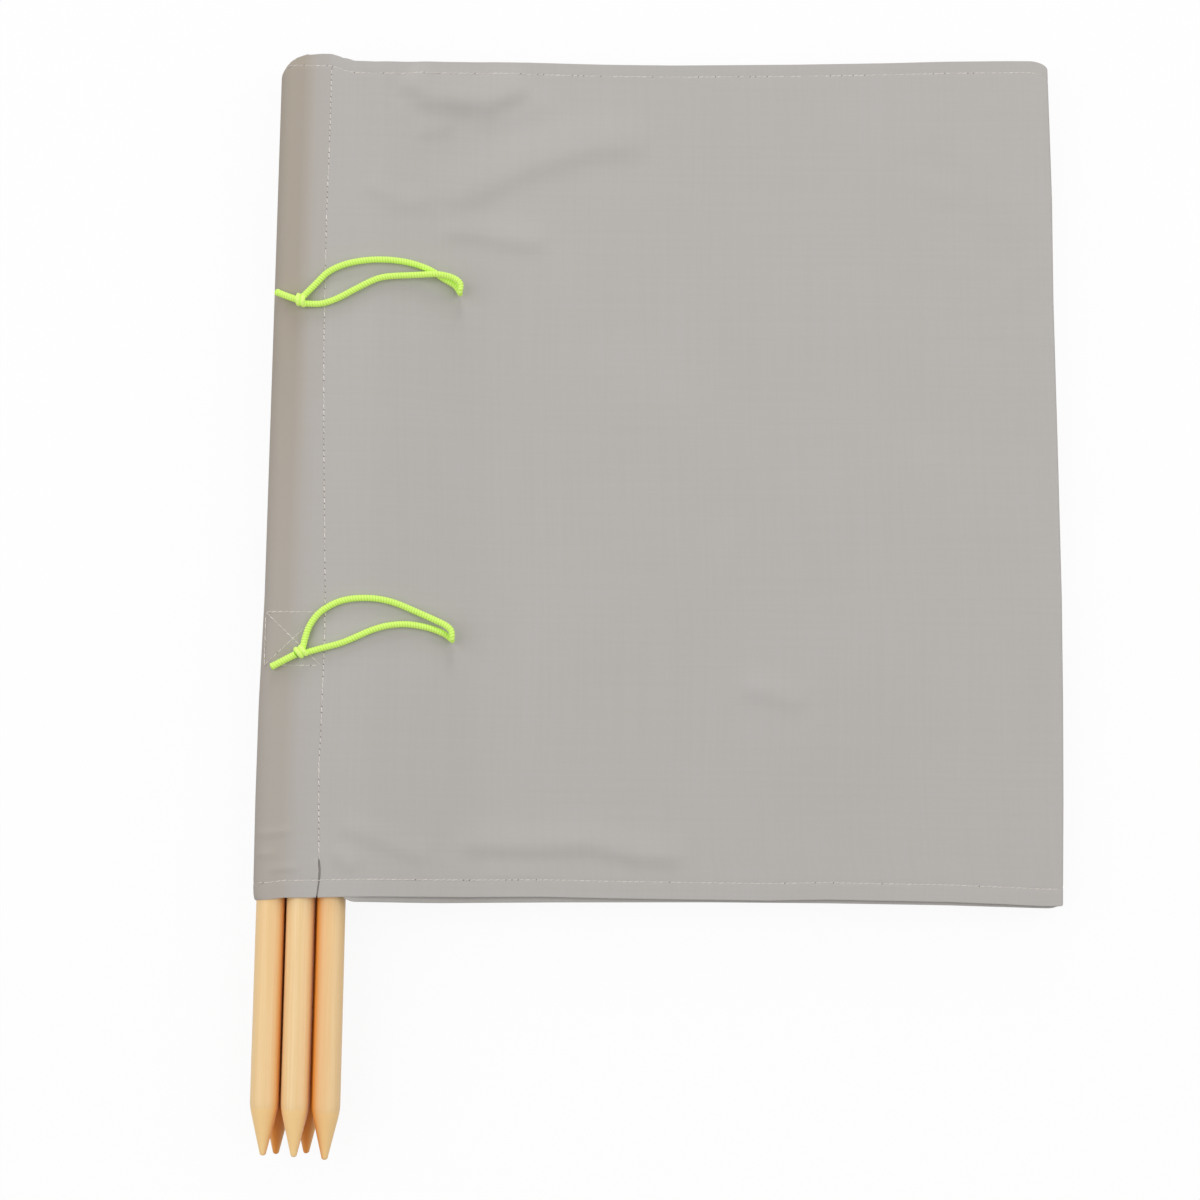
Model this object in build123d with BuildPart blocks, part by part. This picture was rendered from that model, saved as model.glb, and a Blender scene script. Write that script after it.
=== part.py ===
"""A beach windbreak folded for storage: five pointed poles, four bays of cloth and two tie cords.

It lies flat on the floor, +Z up. The poles lie along Y with their points towards -Y, and the bays are
folded into a stack that reaches from the poles towards +X.
"""

import os
from math import asin, cos, degrees, radians, sin, sqrt, tan

from build123d import *

# Driving dimensions, in millimetres
folded_width = 718
cloth_height = 780
cloth_thickness = 0.5
pole_length = 985
pole_diameter = 25
point_length = 42
tip_diameter = 6
tip_blunting = 2
pole_end_chamfer = 1.5
sleeve_fit = 0.3
rest_gap = 0.3
sleeve_flap = 40.5
leaf_pitch = 4.4
cord_diameter = 5.8
knot_diameter = 13
knot_length = 15

# How far the poles' points stand out below the cloth, and how far each has slipped up, in millimetres
pole_reach = 224.6
pole_1_slip = 3.2
pole_2_slip = 2.1
pole_3_slip = 0
pole_4_slip = 1.9
pole_5_slip = 0.9
pole_slips = [pole_1_slip, pole_2_slip, pole_3_slip, pole_4_slip, pole_5_slip]

# How far the two lower poles lie to the left of the hollows between the upper ones, in millimetres
lower_row_shift = 6.3

# How far the cloth runs on from a seam before it bends away, and its way down to the stack, in millimetres
first_leaf_run = 13
far_leaf_run = 8
near_leaf_run = 4
slope_run = 110
leaf_bend_radius = 8
third_flap_drop_degrees = 42

# The folds at the right are not quite level with each other, in millimetres
fold_2_inset = 2
fold_3_inset = 1
fold_4_inset = 3
fold_insets = [0, fold_2_inset, fold_3_inset, fold_4_inset]
fold_radius_share = 0.48

# Tie cords: where each knot lies, and the points of each route, from inside its knot
upper_knot_place = (-333.2, 263.3)
upper_loop_route = [
    (-330.1, 266.9, 61.4),
    (-318.9, 276.9, 59.6),
    (-309.9, 287.0, 59.5),
    (-299.1, 293.1, 59.8),
    (-284.5, 297.5, 60.5),
    (-266.7, 299.7, 61.9),
    (-250.2, 300.5, 58.2),
    (-233.0, 299.1, 53.9),
    (-220.4, 295.6, 50.7),
    (-212.6, 292.4, 48.9),
    (-205.0, 287.1, 47.2),
    (-197.5, 283.4, 45.5),
    (-191.8, 280.0, 44.2),
    (-187.7, 272.0, 43.8),
    (-187.7, 272.0, 51.8),
    (-186.7, 279.7, 51.8),
    (-190.3, 284.1, 52.2),
    (-197.4, 287.3, 53.2),
    (-208.3, 288.6, 55.4),
    (-220.2, 288.0, 56.4),
    (-234.2, 286.8, 57.2),
    (-247.5, 285.5, 58.6),
    (-260.2, 283.1, 60.8),
    (-271.7, 277.5, 61.5),
    (-283.8, 271.0, 60.6),
    (-299.1, 262.6, 59.8),
    (-311.9, 258.0, 59.6),
    (-321.6, 257.5, 60.2),
    (-330.1, 259.4, 61.4),
]
upper_tail_route = [(-337.4, 264.3, 61.0), (-346.6, 267.5, 60.0), (-356.1, 271.8, 56.2)]
lower_knot_place = (-323.6, -60.5)
lower_loop_route = [
    (-321.1, -55.4, 61.8),
    (-319.1, -46.5, 60.0),
    (-315.3, -35.3, 59.5),
    (-307.6, -24.8, 59.6),
    (-296.0, -17.3, 60.0),
    (-283.6, -12.7, 60.6),
    (-266.5, -11.3, 61.9),
    (-250.8, -12.3, 58.3),
    (-236.3, -16.2, 54.7),
    (-219.9, -23.1, 51.2),
    (-204.1, -29.7, 50.2),
    (-193.8, -34.6, 51.4),
    (-189.0, -39.7, 52.3),
    (-188.9, -47.9, 52.3),
    (-188.9, -47.9, 44.3),
    (-194.6, -42.4, 44.6),
    (-201.5, -39.2, 46.9),
    (-209.0, -36.8, 48.8),
    (-217.8, -35.0, 51.1),
    (-231.1, -33.6, 53.4),
    (-245.1, -35.3, 56.9),
    (-258.4, -39.4, 60.6),
    (-272.0, -45.9, 61.5),
    (-286.2, -52.3, 60.6),
    (-300.3, -55.9, 59.9),
    (-310.1, -58.6, 60.5),
    (-318.2, -62.2, 61.8),
]
lower_tail_route = [(-328.8, -63.6, 61.2), (-338.1, -68.0, 60.3), (-349.6, -74.2, 58.2)]
cord_sides = 6
cord_bend_share = 0.45
knot_chamfer_share = 0.25

# Where things come to lie, worked out from the sizes above
pole_radius = pole_diameter / 2
sleeve_inner_radius = pole_radius + sleeve_fit
sleeve_outer_radius = sleeve_inner_radius + cloth_thickness
flap_thickness = 2 * cloth_thickness
pole_pitch = 2 * sleeve_outer_radius + rest_gap
flap_rise_degrees = degrees(asin((flap_thickness + rest_gap) / pole_pitch))

overall_length = cloth_height + pole_reach - min(pole_slips)
cloth_top = overall_length / 2
cloth_bottom = cloth_top - cloth_height
fold_edge = folded_width / 2

pole_1_x = sleeve_outer_radius - folded_width / 2
pole_5_z = sleeve_outer_radius
pole_4_z = flap_thickness + rest_gap + sleeve_outer_radius
lower_row_offset = pole_pitch / 2 - lower_row_shift
upper_row_z = pole_4_z + sqrt(pole_pitch**2 - lower_row_offset**2)
pole_places = [
    (pole_1_x, upper_row_z),
    (pole_1_x + pole_pitch, upper_row_z),
    (pole_1_x + 2 * pole_pitch, upper_row_z),
    (pole_1_x + pole_pitch + lower_row_offset, pole_4_z),
    (pole_1_x + lower_row_offset, pole_5_z),
]

# Each sleeve's flap: its slope in degrees, and whether it leaves its pole's upper or lower side
flap_slopes = [flap_rise_degrees, flap_rise_degrees, -third_flap_drop_degrees, 0, 0]
flap_sides = [1, 1, 1, -1, -1]

cloth_plane = Plane(origin=(0, cloth_top, 0), x_dir=(1, 0, 0), z_dir=(0, -1, 0))


def flap_point(index, along, layer):
    """A point of a sleeve's flap: along it from its pole, in layer 0 outside or layer 1 inside."""
    x, z = pole_places[index]
    slope = radians(flap_slopes[index])
    side = flap_sides[index]
    out = side * (sleeve_outer_radius - (layer + 1 / 2) * cloth_thickness)
    return (x + along * cos(slope) - out * sin(slope), z + along * sin(slope) + out * cos(slope))


def leaf_level(leaf):
    """The height of a leaf's middle in the flat stack, where leaf 8 lies on the floor."""
    return cloth_thickness / 2 + (8 - leaf) * leaf_pitch


def make_pole(index):
    """A round pole with a blunted turned point at its lower end and a chamfered top."""
    x, z = pole_places[index]
    tip = cloth_bottom - pole_reach + pole_slips[index]
    top = tip + pole_length
    with BuildPart() as pole:
        with BuildSketch(Plane.XY.offset(z)):
            with BuildLine():
                Polyline(
                    (x, tip),
                    (x + tip_diameter / 4, tip),
                    (x + tip_diameter / 2, tip + tip_blunting),
                    (x + pole_radius, tip + point_length),
                    (x + pole_radius, top - pole_end_chamfer),
                    (x + pole_radius - pole_end_chamfer, top),
                    (x, top),
                    close=True,
                )
            make_face()
        revolve(axis=Axis((x, tip, z), (0, 1, 0)))
    return pole.part


def make_sleeve(index):
    """A tube of cloth round a pole with a double flap to its seam, closed across its top."""
    x, z = pole_places[index]
    side = flap_sides[index]
    outer = (Align.MIN, Align.MAX if side > 0 else Align.MIN)
    slope = radians(flap_slopes[index])
    flap_root = (x - side * sleeve_outer_radius * sin(slope), z + side * sleeve_outer_radius * cos(slope))
    with BuildPart() as sleeve:
        with BuildSketch(cloth_plane):
            with Locations((x, z)):
                Circle(sleeve_outer_radius)
            with Locations(Location(flap_root, flap_slopes[index])):
                Rectangle(sleeve_flap, flap_thickness, align=outer)
            with Locations((x, z)):
                Circle(sleeve_inner_radius, mode=Mode.SUBTRACT)
        extrude(amount=cloth_height)
        with BuildSketch(cloth_plane):
            with Locations((x, z)):
                Circle(sleeve_inner_radius + cloth_thickness / 2)
        extrude(amount=cloth_thickness)
    return sleeve.part


def leaf_start(index, layer, run):
    """The two points where a leaf leaves a sleeve's seam: at the seam, and where it bends away."""
    return [flap_point(index, sleeve_flap, layer), flap_point(index, sleeve_flap + run, layer)]


def level_point(start, leaf):
    """Where a leaf reaches its level in the stack."""
    return (start[-1][0] + slope_run, leaf_level(leaf))


def make_bay(bay, first_points, second_points):
    """The cloth between two seams, as two leaves joined by the fold at the right."""
    first_leaf = 2 * bay + 1
    turn_x = fold_edge - fold_insets[bay] - cloth_thickness / 2
    corners = [
        *first_points,
        (turn_x, leaf_level(first_leaf)),
        (turn_x, leaf_level(first_leaf + 1)),
        *reversed(second_points),
    ]
    turn_radius = fold_radius_share * leaf_pitch
    radii = [leaf_bend_radius] * (len(first_points) - 1) + [turn_radius] * 2
    radii += [leaf_bend_radius] * (len(second_points) - 1)
    with BuildPart() as cloth:
        with BuildSketch(cloth_plane):
            with BuildLine():
                FilletPolyline(*corners, radius=radii)
            trace(line_width=cloth_thickness)
        extrude(amount=cloth_height)
    return cloth.part


def route_radii(points):
    """The largest even bend at each corner of a cord's route."""
    radii = []
    for before, here, after in zip(points, points[1:], points[2:]):
        first = Vector(here) - Vector(before)
        second = Vector(after) - Vector(here)
        half_turn = radians(first.get_angle(second)) / 2
        radii.append(cord_bend_share * min(first.length, second.length) / tan(half_turn))
    return radii


def make_cord(points, name):
    """A cord along a route of straight runs and tangent arcs, with a few flat sides."""
    radii = route_radii(points)
    with BuildPart() as cord:
        with BuildLine() as route:
            FilletPolyline(*points, radius=radii)
        with BuildSketch(Plane(origin=route.line @ 0, z_dir=route.line % 0)):
            section = RegularPolygon(cord_diameter / 2, cord_sides, major_radius=False)
        sweep()
    length = sum(edge.length for edge in route.edges())
    print(f"{name}: {length:.1f} long, tightest bend {min(radii):.1f},"
          f" volume {cord.part.volume / (length * section.area):.4f} of section times length")
    return cord.part


def make_knot(place):
    """A round knot of cord, lying on the front sleeve."""
    x, y = place
    face = flap_point(0, x - pole_1_x, 0)[1] + cloth_thickness / 2
    middle = (x, y, face + 2 * rest_gap + knot_diameter / 2)
    with BuildPart() as knot:
        with BuildSketch(Plane(origin=middle, x_dir=(0, 1, 0), z_dir=(1, 0, 0))):
            Circle(knot_diameter / 2)
        extrude(amount=knot_length / 2, both=True)
        chamfer(knot.edges().filter_by(GeomType.CIRCLE), length=knot_chamfer_share * knot_diameter)
    return knot.part


def keep(part, name):
    """Labels a piece and writes it."""
    part.label = name
    export_step(part, f"parts/{name}.step")


os.makedirs("parts", exist_ok=True)

for index in range(5):
    keep(make_pole(index), f"pole_{index + 1}")
    keep(make_sleeve(index), f"sleeve_{index + 1}")

# The leaves from the front sleeve to the back one: where each leaves its seam and reaches its level
leaf_1 = leaf_start(0, 0, pole_pitch + first_leaf_run)
leaf_1.append(level_point(leaf_1, 1))
leaf_2 = leaf_start(1, 0, far_leaf_run)
leaf_2.append(level_point(leaf_2, 2))
leaf_3 = leaf_start(1, 1, near_leaf_run)
leaf_3.append(level_point(leaf_3, 3))
leaf_4 = leaf_start(2, 0, near_leaf_run)
leaf_4.append(level_point(leaf_4, 4))
leaf_5 = leaf_start(2, 1, far_leaf_run)
leaf_5.append(level_point(leaf_5, 5))
leaf_6 = leaf_start(3, 1, near_leaf_run)
leaf_6.append(level_point(leaf_6, 6))
leaf_7 = leaf_start(3, 0, far_leaf_run)
leaf_7.append(level_point(leaf_7, 7))
leaf_8 = [flap_point(4, sleeve_flap, 0)]

keep(make_bay(0, leaf_1, leaf_2), "bay_1")
keep(make_bay(1, leaf_3, leaf_4), "bay_2")
keep(make_bay(2, leaf_5, leaf_6), "bay_3")
keep(make_bay(3, leaf_7, leaf_8), "bay_4")

keep(make_cord(upper_loop_route, "loop_upper"), "loop_upper")
keep(make_cord(upper_tail_route, "tail_upper"), "tail_upper")
keep(make_cord(lower_loop_route, "loop_lower"), "loop_lower")
keep(make_cord(lower_tail_route, "tail_lower"), "tail_lower")
keep(make_knot(upper_knot_place), "knot_upper")
keep(make_knot(lower_knot_place), "knot_lower")
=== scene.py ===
# %% [markdown]
# # A folded beach windbreak
#
# The real thing is a long strip of plain woven cloth with five pointed wooden poles in sewn sleeves. Here
# it is folded up: the poles lie in a bundle at the left, four bays of cloth are folded into a flat stack
# to their right, and two lime green tie cords are knotted on the front sleeve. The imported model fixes
# where every piece is, and this lesson dresses it. All the working sizes below are in millimetres, and one
# factor turns them into Blender's metres.

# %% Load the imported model
import math

import bpy
import numpy as np
from mathutils import Matrix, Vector
from mathutils.bvhtree import BVHTree


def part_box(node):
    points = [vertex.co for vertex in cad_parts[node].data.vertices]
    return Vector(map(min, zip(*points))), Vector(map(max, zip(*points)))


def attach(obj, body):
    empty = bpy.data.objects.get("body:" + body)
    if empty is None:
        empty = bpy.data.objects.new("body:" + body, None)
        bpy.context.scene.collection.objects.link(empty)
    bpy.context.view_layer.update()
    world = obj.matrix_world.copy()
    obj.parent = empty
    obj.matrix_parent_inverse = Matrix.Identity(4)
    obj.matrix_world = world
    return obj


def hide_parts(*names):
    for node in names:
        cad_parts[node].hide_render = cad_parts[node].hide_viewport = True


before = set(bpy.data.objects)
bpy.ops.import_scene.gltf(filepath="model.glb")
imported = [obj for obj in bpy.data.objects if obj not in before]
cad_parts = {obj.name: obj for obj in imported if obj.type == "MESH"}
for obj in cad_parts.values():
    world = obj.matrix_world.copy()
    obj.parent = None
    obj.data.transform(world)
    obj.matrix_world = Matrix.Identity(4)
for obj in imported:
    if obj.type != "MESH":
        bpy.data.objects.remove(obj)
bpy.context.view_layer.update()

# %% [markdown]
# ## Sizes read from the model
#
# Nothing is measured twice. The poles' places, the sleeves' radius, the cloth's height and the spacing of
# the folded leaves are all read from the boxes of the solids, so the dressing follows if the solids
# change.

# %% Read the sizes
MM = 0.001


def size_box(node):
    """A solid's lowest and highest corner, in millimetres."""
    low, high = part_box(node)
    return np.array(low) / MM, np.array(high) / MM


POLES = [f"pole_{n}" for n in range(1, 6)]
pole_boxes = [size_box(name) for name in POLES]
pole_x = [(low[0] + high[0]) / 2 for low, high in pole_boxes]
pole_z = [(low[2] + high[2]) / 2 for low, high in pole_boxes]
pole_radius = (pole_boxes[0][1][0] - pole_boxes[0][0][0]) / 2
pole_pitch = pole_x[1] - pole_x[0]

sleeve_low, sleeve_high = size_box("sleeve_5")
tube_radius = (sleeve_high[2] - sleeve_low[2]) / 2
flap_length = sleeve_high[0] - pole_x[4]
cloth_bottom, cloth_top = sleeve_low[1], sleeve_high[1]
cloth_height = cloth_top - cloth_bottom
CLOTH = 0.5
leaf_pitch = size_box("bay_4")[1][2] - CLOTH
fold_x = size_box("bay_1")[1][0]
print(f"poles {2 * pole_radius:.1f} thick, cloth {cloth_height:.0f} high, leaves {leaf_pitch:.1f} apart")

# %% [markdown]
# ## Camera
#
# The photograph looks almost straight down on the flat bundle. The camera stands a little towards the
# poles' points and leans forward by 7.9 degrees. Its lens is 60 mm on a 36 mm sensor, which fits how the
# sides draw together towards the top of the picture.

# %% Place the camera
CAMERA_AIM = np.array([-56.8, -8.0, 34.0])
CAMERA_DISTANCE = 1812.2
CAMERA_LEAN = math.radians(7.87)
CAMERA_TURN = math.radians(0.51)
LENS, SENSOR = 60, 36


def link(made):
    """Puts an object into the scene and gives it back."""
    bpy.context.scene.collection.objects.link(made)
    return made


back = np.array([
    math.sin(CAMERA_TURN) * math.sin(CAMERA_LEAN),
    -math.cos(CAMERA_TURN) * math.sin(CAMERA_LEAN),
    math.cos(CAMERA_LEAN),
])
right = np.array([math.cos(CAMERA_TURN), math.sin(CAMERA_TURN), 0.0])
eye = (CAMERA_AIM + back * CAMERA_DISTANCE) * MM

lens = bpy.data.cameras.new("camera")
lens.lens = LENS
lens.sensor_width = SENSOR
camera = link(bpy.data.objects.new("camera", lens))
axes = np.stack([right, np.cross(back, right), back, eye], -1)
camera.matrix_world = Matrix(axes.tolist() + [[0, 0, 0, 1]])
bpy.context.scene.camera = camera
print("camera at", np.round(eye, 3))

# %% [markdown]
# ## Colours and nodes
#
# Colours are written as sRGB hex values, the way a colour picker shows them, and one function turns them
# into the linear values that shaders work in. Another adds a node with its settings and links. The rest
# name the few kinds of node that come back again and again, so that each material reads as a short list of
# steps.

# %% Helpers for materials


def linear(code):
    """An sRGB hex colour as a linear RGBA value."""
    channels = [int(code[i:i + 2], 16) / 255 for i in (1, 3, 5)]
    return [c / 12.92 if c <= 0.04045 else ((c + 0.055) / 1.055) ** 2.4 for c in channels] + [1.0]


def feed(tree, node, inputs):
    """Gives a node's inputs their values, or the sockets that feed them."""
    for name, value in inputs.items():
        if isinstance(value, bpy.types.NodeSocket):
            tree.links.new(value, node.inputs[name])
        else:
            node.inputs[name].default_value = value


def add(tree, kind, inputs=None, **settings):
    """Adds a shader node: settings are its properties, and inputs are values or sockets."""
    made = tree.nodes.new("ShaderNode" + kind)
    for name, value in settings.items():
        setattr(made, name, value)
    feed(tree, made, inputs or {})
    return made


def empty_tree(owner):
    """The node tree of a material or a world, with nothing in it."""
    owner.use_nodes = True
    owner.node_tree.nodes.clear()
    return owner.node_tree


def new_material(name, shader_values):
    """A material with one shader, and its node tree and that shader."""
    material = bpy.data.materials.new(name)
    tree = empty_tree(material)
    shader = add(tree, "BsdfPrincipled", shader_values)
    add(tree, "OutputMaterial", {"Surface": shader.outputs["BSDF"]})
    return material, tree, shader


def total(tree, first, second):
    """The sum of two sockets."""
    return add(tree, "Math", {0: first, 1: second}, operation="ADD").outputs[0]


def mix(tree, share, first, second):
    """A colour between two others, each a socket or a hex value."""
    first, second = [linear(end) if isinstance(end, str) else end for end in (first, second)]
    made = add(tree, "Mix", {"Factor": share, "A": first, "B": second}, data_type="RGBA")
    return made.outputs["Result"]


def share_between(tree, value, low, high):
    """A value's share of the way from low to high."""
    made = add(tree, "MapRange", {"Value": value, "From Min": low, "From Max": high})
    return made.outputs["Result"]


def noise(tree, place_of, cell, **values):
    """A noise whose cells have their own size along each axis."""
    stretched = add(tree, "Mapping", {"Vector": place_of, "Scale": [1 / side for side in cell]})
    values.update({"Vector": stretched.outputs["Vector"], "Scale": 1.0})
    return add(tree, "TexNoise", values).outputs["Fac"]


def painted(tree, name):
    """An attribute that the mesh carries."""
    return add(tree, "Attribute", attribute_name=name).outputs["Fac"]


def bumps(tree, height, strength, depth):
    """Normals of a surface with fine bumps."""
    made = add(tree, "Bump", {"Height": height, "Strength": strength, "Distance": depth})
    return made.outputs["Normal"]


# %% [markdown]
# ## Cloth
#
# The cloth is a plain woven polycotton in warm grey: matt, with a fine even weave and a faint unevenness
# from yarn to yarn. Real yarns lie about 0.4 mm apart, too fine for this picture, so the weave is drawn at
# 1.1 mm. Over the poles the sleeves carry painted light as an attribute: it warms the grey with the wood's
# colour seen through the thin cloth, and darkens it as painted shade.

# %% Cloth material
WEAVE_PITCH = 1.1 * MM
SLUB_WIDTH, SLUB_LENGTH = 3.5 * MM, 175 * MM
MOTTLE_SIZE = 140 * MM
# Blender's band wave repeats every 2 pi / 20 units at scale 1
WAVE_UNIT = 2 * math.pi / 20

cloth, tree, shader = new_material("woven_polycotton_grey", {
    "Roughness": 0.86, "IOR": 1.5, "Specular IOR Level": 0.25,
    "Sheen Weight": 0.06, "Sheen Roughness": 0.5})
place = add(tree, "UVMap", uv_map="cloth_metres").outputs["UV"]
yarns = {"Vector": place, "Scale": WAVE_UNIT / WEAVE_PITCH, "Distortion": 0.4, "Detail": 1.0}
weave = total(tree, *[add(tree, "TexWave", yarns, bands_direction=way).outputs["Fac"] for way in "XY"])
slubs = total(tree, noise(tree, place, (SLUB_WIDTH, SLUB_LENGTH, 1), Detail=2.0),
              noise(tree, place, (SLUB_LENGTH, SLUB_WIDTH, 1), Detail=2.0))
mottle = add(tree, "TexNoise", {"Vector": place, "Scale": 1 / MOTTLE_SIZE, "Detail": 3.0}).outputs["Fac"]
grey = mix(tree, share_between(tree, total(tree, slubs, mottle), 1.1, 1.9), "#B5B1AC", "#B8B4B1")
height = add(tree, "Math", {0: slubs, 1: 0.8, 2: weave}, operation="MULTIPLY_ADD").outputs[0]
# Painted light: the sleeves' attribute warms the grey with the wood seen through and darkens it as shade
feed(tree, shader, {"Base Color": mix(tree, painted(tree, "painted_wood_tint_and_shade"), grey, "#AAA094"),
                    "Normal": bumps(tree, height, 0.03, 0.4 * MM)})
print("cloth: weave drawn at", WEAVE_PITCH / MM, "mm")

# %% [markdown]
# ## Thread, cord and wood
#
# The seams are sewn with a pale polyester thread, which catches the light more on some stitches than on
# others; that is painted as a paler colour on those stitches, a painted highlight. The ties are a lime
# polyester braid whose dye is fluorescent: it gives back a little more green than falls on it, and the
# shader paints that as a faint glow of its own, the same under any light. The poles are sanded,
# unvarnished softwood dowel, honey pale, with fine grain along their length; where the point was turned,
# the cut fibres are a little yellower. Each dowel comes from another board, so their tones differ a little.
# Painted shade lies on the wood too: a deeper orange streak on the flanks that face a neighbouring pole,
# going on to dark brown where the groove is deepest, and a deeper tone on the two lower poles, which lie
# under the others.

# %% Thread and cord materials
FIBRE_SCALE = 1 / (0.35 * MM)

thread, tree, shader = new_material("polyester_thread_pale", {"Roughness": 0.6})
# Painted highlight: stitches that catch more light are painted paler
feed(tree, shader, {"Base Color": mix(tree, painted(tree, "thread_painted_highlight"), "#C9C3BB", "#F0E9E2")})

# A needle hole is a shadow between two yarns, drawn as a dark dot
needle_hole, tree, shader = new_material("needle_hole_shadow", {
    "Roughness": 0.9, "Base Color": linear("#6B665F")})

# Painted light: a faint glow of its own, the same under any light, stands in for the fluorescent dye
cord_stuff, tree, shader = new_material("braided_polyester_lime", {
    "Roughness": 0.55, "Specular IOR Level": 0.35, "Sheen Weight": 0.1,
    "Emission Color": linear("#C8FF50"), "Emission Strength": 0.08})
fibres = add(tree, "TexNoise", {"Scale": FIBRE_SCALE, "Detail": 2.0}).outputs["Fac"]
# Painted shade in the ribs' valleys and a painted highlight on their crests
feed(tree, shader, {"Base Color": mix(tree, painted(tree, "rib_painted_light_and_shade"), "#B6E64C", "#E2FF86"),
                    "Normal": bumps(tree, fibres, 0.12, 0.2 * MM)})
print("materials:", thread.name, needle_hole.name, cord_stuff.name)

# %% Wood material
GRAIN_WIDTH, GRAIN_LENGTH = 1.6 * MM, 90 * MM
BAND_WIDTH, BAND_LENGTH = 9 * MM, 360 * MM

wood, tree, shader = new_material("sanded_dowel_wood", {"Roughness": 0.42, "Specular IOR Level": 0.5})
spot = add(tree, "NewGeometry").outputs["Position"]
grain = noise(tree, spot, (GRAIN_WIDTH, GRAIN_LENGTH, GRAIN_WIDTH), Detail=4.0, Roughness=0.6)
bands = noise(tree, spot, (BAND_WIDTH, BAND_LENGTH, BAND_WIDTH), Detail=2.0)
honey = mix(tree, share_between(tree, total(tree, grain, bands), 0.75, 1.3), "#EFC88D", "#F5D5A1")
turned = mix(tree, painted(tree, "cut_fibres"), honey, "#FCD493")
# The deeper orange is a little tone and mostly painted shade, between poles and on the lower poles
tone_and_shade = painted(tree, "wood_tone_and_painted_shade")
toned_and_shaded = mix(tree, tone_and_shade, turned, "#E89032")
# A share over 1 goes on from the orange to dark brown: painted shade in the grooves between poles
painted_dark_shade = add(tree, "Math", {0: tone_and_shade, 1: 1.0}, operation="SUBTRACT", use_clamp=True).outputs[0]
feed(tree, shader, {"Base Color": mix(tree, painted_dark_shade, toned_and_shaded, "#6E3A14"),
                    "Normal": bumps(tree, grain, 0.08, 0.4 * MM)})
print("grain of", GRAIN_WIDTH / MM, "by", GRAIN_LENGTH / MM, "mm in", wood.name)

# %% [markdown]
# ## Meshes from grids
#
# Nearly everything here is a grid of points that was rolled, folded or swept, so one function makes the
# quads of a grid and another closes it to a tube with two caps. A third turns points and faces into an
# object, which brings its own UV place in metres and its own painted attributes.

# %% Grid helpers


def grid_faces(rows, columns, start=0, around=False, flip=False):
    """The quads of a grid of points, numbered from start."""
    r, c = np.meshgrid(np.arange(rows - 1), np.arange(columns if around else columns - 1), indexing="ij")
    here, after = r * columns + c, r * columns + (c + 1) % columns
    quads = np.stack([here, after, after + columns, here + columns], -1).reshape(-1, 4) + start
    return quads[:, ::-1] if flip else quads


def tube_faces(rings, sides, start=0):
    """The faces of a tube of rings, with a cap at each end."""
    last = start + (rings - 1) * sides
    caps = [range(start, start + sides)[::-1], range(last, last + sides)]
    return grid_faces(rings, sides, start, around=True).tolist() + caps


def circle(sides):
    """Angles all round, as a row."""
    return np.linspace(0, 2 * math.pi, sides, endpoint=False)


def bell(away, width):
    """A bell curve of height 1, which fades over a width."""
    return np.exp(-(away / width) ** 2)


def run_along(points):
    """The length along a line of points, from its start to each of them."""
    return np.concatenate([[0], np.linalg.norm(np.diff(points, axis=0), axis=-1).cumsum()])


def mesh_object(name, points, faces, material, uv=None, attributes=None, sharp_degrees=40):
    """A smooth mesh object from points in millimetres, with its material."""
    mesh = bpy.data.meshes.new(name)
    mesh.from_pydata((np.asarray(points) * MM).tolist(), [], [list(map(int, face)) for face in faces])
    mesh.polygons.foreach_set("use_smooth", [True] * len(mesh.polygons))
    mesh.set_sharp_from_angle(angle=math.radians(sharp_degrees))
    if uv is not None:
        corners = np.zeros(len(mesh.loops), dtype=np.int32)
        mesh.loops.foreach_get("vertex_index", corners)
        layer = mesh.uv_layers.new(name="cloth_metres")
        layer.data.foreach_set("uv", (np.asarray(uv) * MM)[corners].astype(np.float32).ravel())
    for label, values in (attributes or {}).items():
        paint = mesh.attributes.new(label, "FLOAT", "POINT")
        paint.data.foreach_set("value", np.asarray(values, dtype=np.float32))
    mesh.materials.append(material)
    mesh.validate()
    return link(bpy.data.objects.new(name, mesh))


# %% [markdown]
# ## Poles
#
# Each pole is turned: a profile spun round its axis. The solid already has the right taper, and the
# dressed one softens what a lathe and sandpaper soften, which is the shoulder of the point, the blunt tip
# and the top edge. The rings crowd together where the profile bends.

# %% Turn the poles
POLE_SIDES = 56
POINT_LENGTH = 42
SHOULDER_SOFTNESS = 2.0
# How far the crowded rings reach to both sides of the shoulder
SHOULDER_REACH = 8
TIP_RADIUS, TIP_DEPTH = 2.9, 2.6
TOP_ROUNDING = 4.0
# Over what length the cut fibres of the point run out
CUT_FADE = 4
# Each pole's deeper tone all over, its darker streak (the side in degrees from +X, width and share), and the
# share of dark brown along that streak, short of its point. Most of it is painted shade: the streaks lie on
# the flanks that face a neighbour and on the tops of the two lower poles, which lie under the others, and
# those two are painted deeper all over.
WOOD_TONE_AND_PAINTED_SHADE = [
    (0.02, -8, 46, 1.0, 0), (0.0, -4, 18, 1.4, 0), (0.05, 184, 60, 1.4, 0),
    (0.3, 90, 60, 0.75, 0.15), (0.3, 90, 60, 0.75, 0.9),
]
# How wide the painted dark shade along a groove is, in degrees
DARK_SHADE_WIDTH = 25


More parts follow.
